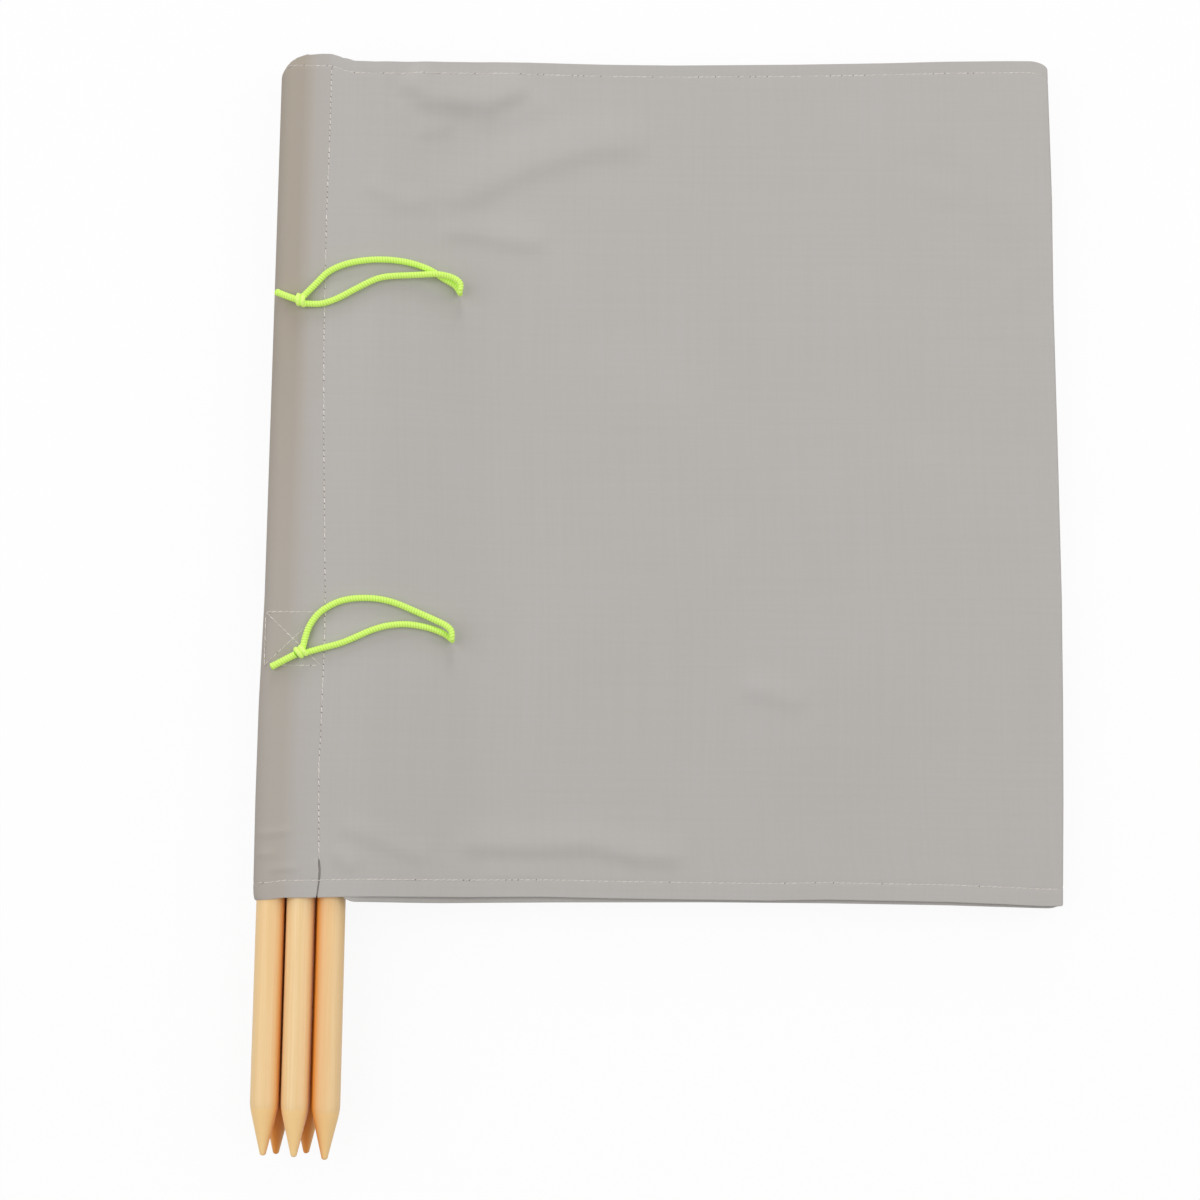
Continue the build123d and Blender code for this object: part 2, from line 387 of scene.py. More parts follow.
def pole_profile(length):
    """Heights above the tip and radii of a pole, from its tip to its top."""
    dome = np.linspace(0.02, math.pi / 2, 6)
    slope = (pole_radius - TIP_RADIUS) / (POINT_LENGTH - TIP_DEPTH)
    softness = SHOULDER_SOFTNESS * slope
    cone = np.concatenate([
        np.linspace(TIP_DEPTH + 2, POINT_LENGTH - SHOULDER_REACH, 10),
        np.linspace(POINT_LENGTH - SHOULDER_REACH + 1, POINT_LENGTH + SHOULDER_REACH, 12),
    ])
    past = TIP_RADIUS + slope * (cone - TIP_DEPTH) - pole_radius
    shaft = np.linspace(POINT_LENGTH + SHOULDER_REACH + 4, length - TOP_ROUNDING, 20)
    edge = np.linspace(0.3, math.pi / 2, 5)
    parts = [
        (TIP_DEPTH * (1 - np.cos(dome)), TIP_RADIUS * np.sin(dome)),
        (cone, pole_radius - softness * np.log1p(np.exp(-past / softness))),
        (shaft, pole_radius + 0 * shaft),
        (length - TOP_ROUNDING * (1 - np.sin(edge)), pole_radius - TOP_ROUNDING * (1 - np.cos(edge))),
        ([length], [0.05]),
    ]
    return np.concatenate(parts, axis=1)[..., None]


for number, (low, high) in enumerate(pole_boxes):
    heights, radii = pole_profile(high[1] - low[1])
    turn = circle(POLE_SIDES)
    rings = np.stack([pole_x[number] + radii * np.cos(turn), low[1] + heights + 0 * turn,
                      pole_z[number] + radii * np.sin(turn)], -1)
    cut = np.clip((POINT_LENGTH + 1 - heights) / CUT_FADE, 0, 1) + 0 * turn
    # Painted shade along the flanks between poles and on the lower poles, on top of each pole's tone
    overall, side, width, streak, dark_shade = WOOD_TONE_AND_PAINTED_SHADE[number]
    away = (np.degrees(turn) - side + 180) % 360 - 180
    wood_tone_and_painted_shade = overall + streak * bell(away, width) + dark_shade * bell(away, DARK_SHADE_WIDTH) * (1 - cut)
    pole = mesh_object(f"turned_pole_{number + 1}", rings.reshape(-1, 3),
                       tube_faces(len(rings), POLE_SIDES), wood,
                       attributes={"cut_fibres": cut.ravel(), "wood_tone_and_painted_shade": wood_tone_and_painted_shade.ravel()})
    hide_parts(POLES[number])
    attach(pole, POLES[number])
print("turned", len(POLES), "poles")

# %% [markdown]
# ## How the cloth lies
#
# Seen from the end, the cloth of a bay runs over the bundle of poles, down a slope and along its own level
# of the stack. Each such line is a few straight runs, and an average over a few millimetres eases the bends,
# which is what a cloth with some body does. `flap_point` gives a point of a sleeve's double flap, so that
# each line starts where its sleeve's seam is.

# %% Lines of the cloth
THIRD_FLAP_DROP = 42
FIRST_RUN, FAR_RUN, NEAR_RUN = 13, 8, 4
SLOPE_RUN, PAST_FOLD = 110, 20
LINE_STEP, LINE_MARGIN = 0.5, 80.0
rest_gap = pole_pitch - 2 * tube_radius
flap_rise = math.degrees(math.asin((2 * CLOTH + rest_gap) / pole_pitch))
flap_slopes = [flap_rise, flap_rise, -THIRD_FLAP_DROP, 0, 0]
flap_sides = [1, 1, 1, -1, -1]


def flap_axes(index):
    """Unit vectors in X and Z along a sleeve's flap, and out from the pole to its outer cloth."""
    slope = math.radians(flap_slopes[index])
    outward = flap_sides[index] * np.array([-math.sin(slope), math.cos(slope)])
    return np.array([math.cos(slope), math.sin(slope)]), outward


def flap_point(index, along_flap, layer):
    """A point of a sleeve's flap, in X and Z: layer 0 is the outer cloth and layer 1 the inner."""
    direction, outward = flap_axes(index)
    out = tube_radius - (layer + 0.5) * CLOTH
    return np.array([pole_x[index], pole_z[index]]) + along_flap * direction + out * outward


def leaf_level(leaf):
    """The height of a leaf's middle in the flat stack."""
    return CLOTH / 2 + (8 - leaf) * leaf_pitch


def eased_line(corners, softness):
    """A line through corners in X and Z with its bends eased, as a function of X."""
    xs, zs = np.array(corners, dtype=float).T
    fine = np.arange(xs[0] - LINE_MARGIN, xs[-1] + LINE_MARGIN, LINE_STEP)
    rough = np.interp(fine, xs, zs)
    before = fine < xs[0]
    rough[before] = zs[0] + (zs[1] - zs[0]) / (xs[1] - xs[0]) * (fine[before] - xs[0])
    reach = np.arange(-3 * softness, 3 * softness + LINE_STEP, LINE_STEP)
    weight = np.exp(-0.5 * (reach / softness) ** 2)
    eased = np.convolve(np.pad(rough, len(reach) // 2, mode="edge"), weight / weight.sum(), mode="valid")
    return lambda x: np.interp(x, fine, eased[:len(fine)])


def leaf_line(index, layer, run, leaf, softness):
    """The line of a leaf from its sleeve's seam to the fold, and the X where it starts."""
    seam = flap_point(index, flap_length, layer)
    bend = flap_point(index, flap_length + run, layer)
    level = leaf_level(leaf)
    corners = [seam, bend, (bend[0] + SLOPE_RUN, level), (fold_x + PAST_FOLD, level)]
    return eased_line(corners, softness), seam[0]


leaf_lines = [
    leaf_line(0, 0, pole_pitch + FIRST_RUN, 1, 9),
    leaf_line(1, 0, FAR_RUN, 2, 7),
    leaf_line(1, 1, NEAR_RUN, 3, 5),
    leaf_line(2, 0, NEAR_RUN, 4, 1.5),
    leaf_line(2, 1, FAR_RUN, 5, 1.5),
    leaf_line(3, 1, NEAR_RUN, 6, 2),
    leaf_line(3, 0, FAR_RUN, 7, 2),
    (lambda x: leaf_level(8) + 0 * x, flap_point(4, flap_length, 0)[0]),
]
print("leaves start at", [round(start) for _, start in leaf_lines])

# %% [markdown]
# ## Edges, seam and creases
#
# The cloth was folded by hand, so its edges aren't ruled lines. The poles push the closed end of the front
# sleeve up past the hem, the hem climbs a little to the right, the fold bows out and the front seam leans.
# Each edge is a short list of places with the height of the edge there. The creases are soft ridges and
# hollows along a few points, steeper on one side than on the other, on top of a slow swell.

# %% Edges of the front
# Heights above the cloth's lower level, and where the front seam lies there in X: its unsewn foot wavers
SEAM_LINE = [
    (0, -302.6), (8, -301.7), (16, -300.8), (23, -300.5), (31, -301.3), (42, -302.2), (117, -304.3),
    (144, -303.4), (228, -302.4), (264, -302.7), (337, -305.3), (406, -308.0), (503, -310.6),
    (621, -311.5), (693, -310.6), (780, -310.4),
]
# The unsewn foot of that seam: its height, how far it gapes, and how much more from which heights on
SLIT_HEIGHT, SLIT_GAP, SLIT_WIDENING = 34.5, 0.7, 0.6
WIDENING_HEIGHTS = 13, 19
# Places along X, and how high each edge stands there above the cloth's lower level
TOP_EDGE = [
    (-336, 778.2), (-311, 777.5), (-303, 774.9), (-298, 772.5), (-290, 770.7), (-270, 769.8),
    (-243, 771.6), (-160, 779.8), (-132, 780.6), (-60, 779.5), (10, 779.4), (123, 781.1),
    (208, 783.3), (264, 785.3), (321, 786.2),
]
BOTTOM_EDGE = [
    (-359, -2.0), (-346, -1.2), (-333, 0.6), (-304, 1.0), (-278, 1.9), (-252, 2.3), (-174, 2.2),
    (-107, 3.1), (-41, 2.2), (93, 1.5), (146, 2.8), (253, 1.8), (306, 0.2), (337, -1.1),
]
SECOND_EDGE = [
    (-279, 0.5), (-272, -2.3), (-200, -3.2), (-94, -1.7), (40, -0.4), (147, -0.3), (254, -1.1),
    (307, -2.3), (340, -3.0),
]
# Heights above the cloth's lower level, and how far the fold stands out there
FOLD_BOW = [(0, -1.6), (93, 1.0), (183, 2.9), (274, 4.0), (400, 3.4), (555, 2.4), (651, 3.1), (780, 1.4)]
# The rounded corners at the fold: their widths and heights, and how nearly round they are
TOP_CORNER, LOW_CORNER = (18.0, 10.0), (3.0, 2.0)
CORNER_FULLNESS = 0.98


def edge_at(points, at):
    """An edge, read between its points."""
    return np.interp(at, *np.array(points, dtype=float).T)


def ellipse_drop(share, fullness):
    """How far a nearly full quarter ellipse has left its side, at a share of its length."""
    return 1 - np.sqrt(1 - fullness * share ** 2)


def corner_drop(x, end, corner):
    """How far a rounded corner that ends at X draws the edge in."""
    width, depth = corner
    share = np.clip((x - (end - width)) / width, 0, 1)
    return depth * ellipse_drop(share, CORNER_FULLNESS)


def ramp(value, start, end):
    """A smooth step from 0 at start to 1 at end."""
    t = np.clip((value - start) / (end - start), 0, 1)
    return t * t * (3 - 2 * t)


def seam_x(y):
    """Where the front seam runs, at a height along the pole."""
    return edge_at(SEAM_LINE, y - cloth_bottom)


def slit_gap(y):
    """How far the unsewn foot of the front seam gapes."""
    up = y - cloth_bottom
    return (SLIT_GAP + SLIT_WIDENING * ramp(up, *WIDENING_HEIGHTS)) * ramp(up, SLIT_HEIGHT, SLIT_HEIGHT - 4)


def front_top(x):
    """The upper edge of the front, from the sleeve to the fold."""
    return cloth_bottom + edge_at(TOP_EDGE, x) - corner_drop(x, fold_x + FOLD_BOW[-1][1], TOP_CORNER)


def front_bottom(x):
    """The lower edge of the front, from the loose mouth of the sleeve to the fold."""
    return cloth_bottom + edge_at(BOTTOM_EDGE, x) + corner_drop(x, fold_x + FOLD_BOW[0][1], LOW_CORNER)


print("front edges of", len(TOP_EDGE) + len(BOTTOM_EDGE), "points")

# %% Creases of the front
# Each crease: the points in X and Y that it runs through, its widths to the right and left of that way, and
# its height. Most have a steep lower side, which turns away from the light and looks darker.
CREASES = [
    ([(-244, 480), (-217, 460), (-167, 461), (-127, 479)], 11, 24, 5.8),
    ([(-182, 439), (-141, 449), (-99, 466)], 9, 14, 1.2),
    ([(-232, 426), (-196, 436)], 7, 15, 1.6),
    ([(-255, 473), (-245, 451)], 6, 6, -0.8),
    ([(-212, 358), (-190, 368), (-129, 401), (-66, 421), (-12, 426)], 14, 28, 3.8),
    ([(-208, 333), (-178, 335), (-143, 329), (-108, 326)], 9, 16, 2.5),
    ([(-278, 376), (-247, 358), (-217, 359)], 7, 12, 1.5),
    ([(-184, -229), (-117, -231), (-64, -228), (-19, -238), (26, -239)], 8, 16, 2.6),
    ([(-161, -255), (-90, -253)], 8, 10, 0.6),
    ([(-286, -215), (-255, -224), (-231, -234), (-205, -244)], 6, 12, 1.5),
    ([(-292, -237), (-268, -252)], 6, 10, 1.6),
    ([(70, -87), (97, -91), (129, -102)], 9, 14, 1.6),
    ([(220, 399), (276, 372)], 13, 13, 1.0),
    ([(230, 420), (330, 300)], 30, 30, -1.2),
    ([(120, 60), (260, 130)], 34, 34, 0.9),
    ([(-60, 130), (70, 60)], 38, 38, -0.9),
]
# How suddenly a crease runs out at its ends
CREASE_ENDING = 8
# How far to the right of the front seam the creases begin, and where they reach their height
CREASE_START, CREASE_FULL = 2, 20


def crease_lift(points, right_width, left_width, x, y):
    """A ridge of height 1 along a line of straight runs, which runs out at both ends."""
    lift, passed = 0, 0
    whole = run_along(np.array(points))[-1]
    for (x0, y0), (x1, y1) in zip(points, points[1:]):
        run_x, run_y = x1 - x0, y1 - y0
        length = math.hypot(run_x, run_y)
        t = np.clip(((x - x0) * run_x + (y - y0) * run_y) / length ** 2, 0, 1)
        off_x, off_y = x - x0 - t * run_x, y - y0 - t * run_y
        apart = np.hypot(off_x, off_y)
        to_left = (run_x * off_y - run_y * off_x) / (length * np.maximum(apart, 0.01))
        width = 0.5 * (right_width * (1 - to_left) + left_width * (1 + to_left))
        ending = 1 - (2 * (passed + t * length) / whole - 1) ** CREASE_ENDING
        lift = np.maximum(lift, ending * bell(apart, width))
        passed += length
    return lift


def crease_field(x, y):
    """How far creases lift the front cloth, with a swell of slow waves about half a millimetre high."""
    lift = 0.5 * np.sin(x / 83 + y / 140) + 0.4 * np.sin(x / 47 - y / 95 + 1.3) * np.sin(y / 120)
    for points, right_width, left_width, height in CREASES:
        lift = lift + height * crease_lift(points, right_width, left_width, x, y)
    return lift * ramp(x, seam_x(y) + CREASE_START, seam_x(y) + CREASE_FULL)


print(len(CREASES), "creases")

# %% [markdown]
# ## A sheet with thickness and hems
#
# A bay is one sheet: from its first seam along a leaf, round the fold and back along the next leaf. It is
# built as a grid of points in the middle of the cloth, and the two faces stand off that grid along its
# normals. Along its lower and upper edges the cloth is turned in and sewn, so there the inner face stands
# further off, the edge is rounded, and the outer face dips where the thread pulls it in.

# %% Sheet helpers
HEM_LOW, HEM_HIGH = 15.0, 11.6
HEM_THICKNESS = 0.9
EDGE_ROUNDING = 0.6
# How deep and how wide the thread pulls a hem in, and how far apart its stitches are
PULL_DEPTH, PULL_WIDTH = 0.28, 1.3
STITCH_PITCH = 5.4
# Distances of rows from the cloth's edge, and of rows past the seam of a hem
EDGE_STEPS = [0, 0.25, 0.6, 1.2, 3, 6]
PAST_HEM = [0, 0.5, 1.8, 5]
MIDDLE_MARGIN = 9


def sheet_rows(spacing):
    """Heights of the grid's rows as shares of the cloth's height, crowded at the hems and their seams."""
    low = EDGE_STEPS + [9, HEM_LOW - 3, HEM_LOW - 1.2] + [HEM_LOW + past for past in PAST_HEM]
    high = EDGE_STEPS + [HEM_HIGH - 2.2, HEM_HIGH - 1.0] + [HEM_HIGH + past for past in PAST_HEM]
    middle = np.linspace(HEM_LOW + MIDDLE_MARGIN, cloth_height - HEM_HIGH - MIDDLE_MARGIN,
                         int(cloth_height / spacing))
    return np.concatenate([low, middle, cloth_height - np.array(high[::-1])]) / cloth_height


def normals(grid):
    """Unit normals of a grid of points, to the left of its columns as its rows go up."""
    face = np.cross(np.gradient(grid, axis=1), np.gradient(grid, axis=0))
    return face / np.linalg.norm(face, axis=-1, keepdims=True)


def hem_offsets(grid, shares):
    """How far the outer and the inner face stand off the middle of the cloth."""
    up = shares[:, None] * cloth_height + 0 * grid[..., 0]
    down = cloth_height - up
    in_hem = (up <= HEM_LOW) | (down <= HEM_HIGH)
    inside = np.clip((EDGE_ROUNDING - np.minimum(up, down)) / EDGE_ROUNDING, 0, 1)
    rounding = np.sqrt(np.clip(1 - inside ** 2, 0.04, 1))
    pull = bell(up - HEM_LOW, PULL_WIDTH) + bell(down - HEM_HIGH, PULL_WIDTH)
    pucker = 0.7 + 0.3 * np.cos(2 * math.pi * grid[..., 0] / STITCH_PITCH)
    outer = CLOTH / 2 * rounding - PULL_DEPTH * pull * pucker
    return outer, (CLOTH / 2 + HEM_THICKNESS * in_hem) * rounding


def two_faced(grid, outer, inner, start):
    """Points and quads of a closed sheet round a grid of middle points."""
    rows, columns = grid.shape[:2]
    out = normals(grid)
    points = np.concatenate([(grid + out * outer[..., None]).reshape(-1, 3),
                             (grid - out * inner[..., None]).reshape(-1, 3)])
    count = rows * columns
    numbers = np.arange(count).reshape(rows, columns) + start
    faces = [grid_faces(rows, columns, start), grid_faces(rows, columns, start + count, flip=True)]
    for edge in (numbers[0, ::-1], numbers[-1], numbers[:, 0], numbers[::-1, -1]):
        faces.append(np.stack([edge[:-1], edge[:-1] + count, edge[1:] + count, edge[1:]], -1)[:, ::-1])
    return points, np.concatenate(faces)


def sheet_object(name, grids, offsets, attributes=None):
    """A cloth object of one or more closed sheets, with UV in millimetres of cloth."""
    points, faces, places, count = [], [], [], 0
    for grid, (outer, inner) in zip(grids, offsets):
        made, quads = two_faced(grid, outer, inner, count)
        runs = np.array([run_along(row) for row in grid])
        points.append(made)
        faces.append(quads)
        places += [np.stack([runs, grid[..., 1]], -1).reshape(-1, 2)] * 2
        count += len(made)
    return mesh_object(name, np.concatenate(points), np.concatenate(faces), cloth, np.concatenate(places),
                       attributes)


# %% [markdown]
# ## Bays
#
# The front bay gets the fine grid, because its face fills the picture. The bays below it follow the same
# creases with less height, so that the leaves never touch, and each was laid down a little askew: its
# edges stand a few millimetres off those above, which is what shows as a second edge below the front hem.

# %% Leaves and folds
# How far each bay's fold lies in from the front's, the share of its bow that the others have, and by how
# much and along what length they waver
FOLD_INSETS = [0, 2, 1, 3]
BOW_SHARE, FOLD_WAVE, WAVE_LENGTH = 0.6, 0.8, 130
# How far each leaf's lower and upper edge lies from the front's; the second has a lower edge of its own
LEAF_LOW_SHIFTS = [0, 0, -1.0, 0.8, -1.2, 1.0, -0.6, 0.5]
LEAF_HIGH_SHIFTS = [0, -4.5, -2.0, -3.0, -1.0, -3.5, -2.0, -1.5]
# How far from the fold a leaf's edge comes back to that of the leaf it is joined to
SHIFT_FADE, SECOND_FADE = 70, 9
# What is left of the creases from one leaf to the next below
CREASE_FADE = 0.72
# How far the front bay laps under the sleeve at their seam, and how deep and wide the thread pulls it in
SEAM_LAP, SEAM_DIP, DIP_WIDTH = 1.6, 0.5, 1.6
# Shares of a leaf's width where its columns crowd, and where those between start and end
NEAR_SEAM, NEAR_FOLD = [0, 0.002, 0.005, 0.009], [0.98, 0.985, 0.99, 0.994, 0.997, 1]
EVEN_START, EVEN_END, LOW_EVEN_END = 0.014, 0.976, 0.97
# How many columns a fold has
FOLD_STEPS = 9


def leaf_columns(count, last):
    """Shares of a leaf's width for the columns of its grid."""
    return np.concatenate([NEAR_SEAM, np.linspace(EVEN_START, last, count), NEAR_FOLD])


def leaf_grid(leaf, shares, columns, fold_edge):
    """Middle points of one leaf, from its seam to where its fold begins."""
    line, start = leaf_lines[leaf - 1]
    y = cloth_bottom + shares * cloth_height
    first = start + 0 * y
    if leaf == 1:
        opened = ramp(y - cloth_bottom, SLIT_HEIGHT + 2, SLIT_HEIGHT - 3)
        first = seam_x(y) - SEAM_LAP * (1 - opened) + 0.5 * slit_gap(y) * opened
    first, end = first[:, None], fold_edge[:, None]
    x = first * (1 - columns) + end * columns
    fade = ramp(x, end, end - SHIFT_FADE)
    low = front_bottom(x) + LEAF_LOW_SHIFTS[leaf - 1] * fade
    high = front_top(x) + LEAF_HIGH_SHIFTS[leaf - 1] * fade
    if leaf == 2:
        own = ramp(x, end, end - SECOND_FADE)
        low = low * (1 - own) + (cloth_bottom + edge_at(SECOND_EDGE, x)) * own
    y_grid = low + shares[:, None] * (high - low)
    z = line(x) + crease_field(x, y_grid) * CREASE_FADE ** (leaf - 1) * (leaf < 8)
    if leaf == 1:
        z = z - SEAM_DIP * bell(x - first, DIP_WIDTH)
    return np.stack([x, y_grid, z], -1)


def fold_grid(first, second, shares):
    """The half turn between two leaves at the fold, with its ends on the front's rounded corners."""
    top, low = first[:, -1], second[:, -1]
    middle, half = (top + low) / 2, (top - low) / 2
    out = np.abs(half[:, 2:]) * [1, 0, 0]
    turns = np.linspace(0, math.pi, FOLD_STEPS + 2)[1:-1]
    turned_grid = np.stack([middle + half * math.cos(a) + out * math.sin(a) for a in turns], 1)
    foot, head = front_bottom(turned_grid[..., 0]), front_top(turned_grid[..., 0])
    turned_grid[..., 1] = foot + shares[:, None] * (head - foot)
    return turned_grid


# %% Make the bays
# The spacing of rows and the number of columns, each for the front bay and for the others, and the columns
# of their lower leaves
BAY_ROWS, BAY_COLUMNS, LOW_COLUMNS = (4.6, 16), (140, 36), 32

bays = []
for bay in range(4):
    behind = min(bay, 1)
    shares = sheet_rows(BAY_ROWS[behind])
    up = shares * cloth_height
    bow = edge_at(FOLD_BOW, up)
    if behind:
        bow = BOW_SHARE * bow - FOLD_WAVE * (1 + np.sin((cloth_bottom + up) / WAVE_LENGTH + 2 * bay)) / 2
    edge = fold_x - FOLD_INSETS[bay] - leaf_pitch / 2 - CLOTH / 2 + bow
    above = leaf_grid(2 * bay + 1, shares, leaf_columns(BAY_COLUMNS[behind], EVEN_END), edge)
    below = leaf_grid(2 * bay + 2, shares, leaf_columns(LOW_COLUMNS, LOW_EVEN_END), edge)
    grid = np.concatenate([above, fold_grid(above, below, shares), below[:, ::-1]], axis=1)
    made = sheet_object(f"bay_cloth_{bay + 1}", [grid], [hem_offsets(grid, shares)])
    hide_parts(f"bay_{bay + 1}")
    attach(made, "cloth")
    flat_width = run_along(grid[len(grid) // 2])[-1]
    bays.append(made)
    print(f"bay {bay + 1}: {flat_width:.0f} mm from seam to seam, {len(made.data.polygons)} faces")

# %% [markdown]
# ## Sleeves
#
# A sleeve is the same cloth taken once round its pole and sewn to itself, which leaves a double flap from
# the pole to the seam. The grid starts beside the top of the pole, goes round under it and out along the
# flap, and a second short sheet is the flap's inner layer. On the front sleeve the mouth is loose and
# bulges to the left, and the top end is sewn flat, so the tube draws in round the end of the pole.

# %% Sections of the sleeves
# The sewn end: over what length the front sleeve closes, how far its left side sweeps over, how round that
# sweep is and where it stops, as a share of the radius
TOP_CLOSING, CORNER_SWEEP, SWEEP_FULLNESS, SWEEP_STOP = 20.5, 33.0, 0.999, 0.88
# How far below the cloth's top the sleeves behind are sewn shut, from just below their poles' ends on
HIDDEN_DROPS = [0, 5.0, 11.5, 3.0, 3.0]
HIDDEN_SWEEP = 14.0
POLE_COVER = 2.0
sleeve_line = tube_radius - CLOTH / 2
# How far the front sleeve stands out to the left of its pole's axis, at heights above its mouth
BULGE = [(0, 12.9), (1.5, 14.2), (5, 15.0), (12, 15.4), (90, 16.1), (175, 15.8), (270, 13.6), (600, 13.2),
         (780, 13.05)]
# Wrinkles across the front sleeve: their heights above its mouth, and their ends to both sides of the pole
MOUTH_WRINKLES = [(58, -9, 17), (40, -9, 4), (26, 3, 25)]
WRINKLE_LIFT, WRINKLE_WIDTH = 0.8, 3.4
# How deep and wide the thread pulls the front sleeve in at its seam, and the share of its gap by which the
# unsewn foot lifts, with the width of that
THREAD_PULL, THREAD_PULL_WIDTH, FOOT_LIFT, FOOT_WIDTH = 0.35, 1.2, 0.7, 4
# The tube's angles, from beside its top and round under the pole to its top, and how many of those make the
# lower layer where it is pressed flat
TUBE_ANGLES = np.radians(np.linspace(80, -270, 64))
UNDER_COUNT = 46
# The flap's columns as shares of its length, and where its inner layer starts, how far short it stops and
# how deep it lies
FLAP_SHARES = np.linspace(0, 1, 18)[1:] ** 0.9
INNER_START, INNER_SHORT, INNER_DEPTH = 5, 1.2, 1.15 * CLOTH
# Where the tube is pressed flat: how far out its layers meet, how far each lies from there, where along the
# flap that ends, and the shares by which the inner layer moves in and along
PRESSED_OUT, PRESSED_APART, PRESSED_END = 0.8 * sleeve_line, 0.6, 2.2 * sleeve_line
INNER_IN, INNER_ALONG = 0.2, 0.3


def sleeve_section(index, up):
    """A sleeve's tube with its outer flap, and its inner flap, at a height above its mouth: each point is a
    distance along the flap and one outwards, both from the pole's axis."""
    front, y = index == 0, cloth_bottom + up
    gap = slit_gap(y) * front
    length, reach = flap_length, sleeve_line
    sweep, closing_length = HIDDEN_SWEEP, sewn_tops[index] - pole_boxes[index][1][1] + POLE_COVER
    if front:
        length = (seam_x(y) - 0.5 * gap - pole_x[0]) / flap_axes(0)[0][0]
        reach = edge_at(BULGE, up)
        sweep, closing_length = CORNER_SWEEP, TOP_CLOSING
    # The sewn end: the tube is pressed flat, and its left side draws in along a quarter ellipse
    closing = np.clip((up - (cloth_height - closing_length)) / closing_length, 0, 1)
    left = min(-reach + sweep * ellipse_drop(closing, SWEEP_FULLNESS), SWEEP_STOP * sleeve_line)
    flat = ramp(closing, 0.3, 1)
    run = FLAP_SHARES * length
    dip = front * THREAD_PULL * bell(run - length, THREAD_PULL_WIDTH)
    dip -= FOOT_LIFT * gap * bell(run - length, FOOT_WIDTH)
    p = np.concatenate([sleeve_line * np.cos(TUBE_ANGLES), run])
    q = np.concatenate([sleeve_line * np.sin(TUBE_ANGLES), sleeve_line - dip])
    for height, start, end in MOUTH_WRINKLES:
        ridge = ramp(p, start - 4, start + 2) * ramp(p, end + 4, end - 2) * (q > 0) * front
        q = q + WRINKLE_LIFT * ridge * bell(up - height, WRINKLE_WIDTH)
    layer = np.where(np.arange(len(p)) < UNDER_COUNT, -PRESSED_APART, PRESSED_APART)
    pressed = PRESSED_OUT + layer * (p < sleeve_line)
    q = q * (1 - flat) + (pressed + (q - pressed) * ramp(p, sleeve_line, PRESSED_END)) * flat
    # A slack sleeve stands out on its left half, and the sewn end is drawn in as a whole
    p = np.where(p < 0, p * max(-left / sleeve_line, 1), p)
    drawn_in = min((sleeve_line - left) / (2 * sleeve_line), 1)
    p = np.where(p < sleeve_line, sleeve_line - (sleeve_line - p) * drawn_in, p)
    inner_p = np.linspace(INNER_START, length - INNER_SHORT, 12)
    moved_in = flat * INNER_IN * sleeve_line * ramp(inner_p, PRESSED_END, sleeve_line)
    inner_q = sleeve_line - INNER_DEPTH - moved_in
    inner_p = inner_p + (length - INNER_SHORT - inner_p) * INNER_ALONG * flat
    return np.stack([p, q], -1), np.stack([inner_p, inner_q], -1)


sewn_tops = [cloth_top - drop for drop in HIDDEN_DROPS]
print("front sleeve reaches", max(reach for _, reach in BULGE), "mm to the left of its pole's axis")

# %% Make the sleeves
# How far below the front's upper edge the flaps behind end, and how far above its lower edge they start
FLAP_DROP, FLAP_RAISE = 2.0, 1.5
# How far apart the rows are, in the front sleeve and in the others
SLEEVE_ROWS = 9, 26
# Painted wood tint and shade at distances to the right of the pole's axis, and how much of that at heights
PAINTED_TINT_BESIDE = [(9, 1.0), (22, 0.3), (40, 0.08)]
PAINTED_TINT_UP = [(0, 0.55), (300, 0.66), (500, 1.0)]


def sleeve_grids(index, shares):
    """Middle points of a sleeve's tube with its outer flap, and of its inner flap."""
    tubes, flaps = [], []
    for share in shares:
        for path, kept in zip(sleeve_section(index, share * cloth_height), (tubes, flaps)):
            x, z = (np.array([pole_x[index], pole_z[index]]) + path @ np.array(flap_axes(index))).T
            low, top = front_bottom(x), front_top(x)
            if index > 0:
                joined = ramp(x, pole_x[index] + sleeve_line, pole_x[index] + flap_length)
                top = sewn_tops[index] + (top - FLAP_DROP - sewn_tops[index]) * joined
                low = low + FLAP_RAISE
            kept.append(np.stack([x, low + share * (top - low), z], -1))
    return [np.array(rows)[:, ::flap_sides[index]] for rows in (tubes, flaps)]


sleeves = []
for index in range(5):
    closing_rows = 1 - np.linspace(TOP_CLOSING + 4, HEM_HIGH + 6, 5) / cloth_height
    wrinkle_rows = [] if index else np.arange(18, 70, 2.4) / cloth_height
    shares = np.unique(np.concatenate([sheet_rows(SLEEVE_ROWS[min(index, 1)]), closing_rows, wrinkle_rows]))
    grids = sleeve_grids(index, shares)
    offsets = [hem_offsets(grid, shares) for grid in grids]
    offsets = [(outer, np.minimum(inner, CLOTH / 2 + 0.05)) for outer, inner in offsets]
    # Painted wood tint and shade where the cloth lies on the pole, and more so where it is drawn tight
    tints = []
    for grid in grids:
        beside = edge_at(PAINTED_TINT_BESIDE, grid[..., 0] - pole_x[index])
        tints += [(beside * edge_at(PAINTED_TINT_UP, grid[..., 1] - cloth_bottom)).ravel()] * 2
    made = sheet_object(f"sleeve_cloth_{index + 1}", grids, offsets, {"painted_wood_tint_and_shade": np.concatenate(tints)})
    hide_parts(f"sleeve_{index + 1}")
    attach(made, "cloth")
    sleeves.append(made)

# %% [markdown]
# ## Stitches
#
# A lockstitch shows on the face as a row of short threads that dive into the cloth at both ends, each a
# little slanted, with the needle's holes between them. Each stitch is a small arched capsule, and all
# those of the front are one mesh. They follow the front seam, the hems and the box with a cross that holds
# the lower tie. So that every stitch lies on the cloth, its path is dropped from above onto the front
# sleeve and bay. The shadow in each needle hole is painted as a small dark dot.

